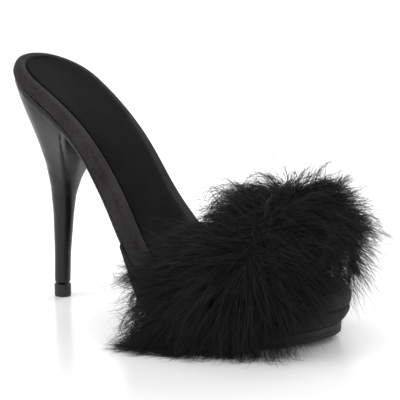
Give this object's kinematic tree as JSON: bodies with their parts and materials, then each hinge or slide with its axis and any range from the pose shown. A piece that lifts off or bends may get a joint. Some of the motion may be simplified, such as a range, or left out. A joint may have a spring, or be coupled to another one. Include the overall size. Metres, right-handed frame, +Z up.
{
  "type": "marabou slipper",
  "caption": "High-heeled backless slipper for the right foot, with a slim glossy heel, a low platform and a broad arched strap buried in black marabou feathers.",
  "frame": {"origin": "on the floor, in the middle of the flat tread under the ball of the foot", "axes": "+X from the heel to the toe, +Y to the inner side of the foot, +Z up"},
  "size_m": [0.213, 0.1343, 0.1383],
  "materials": {
    "outsole_rubber": "matt moulded rubber with fine side grooves",
    "cover_suede": "brown-black microsuede with a short nap",
    "sock_suede": "black suede, darker than the border round it",
    "heel_gloss": "glossy black moulding with soft vertical streaks",
    "top_lift": "satin black top lift",
    "strap_suede": "black microsuede",
    "marabou_black": "near-black marabou, soft sheen on the barbs"
  },
  "bodies": {
    "root": {"outsole": "outsole_rubber", "platform": "cover_suede", "footbed": "cover_suede", "sock_lining": "sock_suede", "heel": "heel_gloss", "heel_tip": "top_lift", "vamp_strap": "strap_suede", "marabou_trim": "marabou_black"}
  },
  "joints": []
}
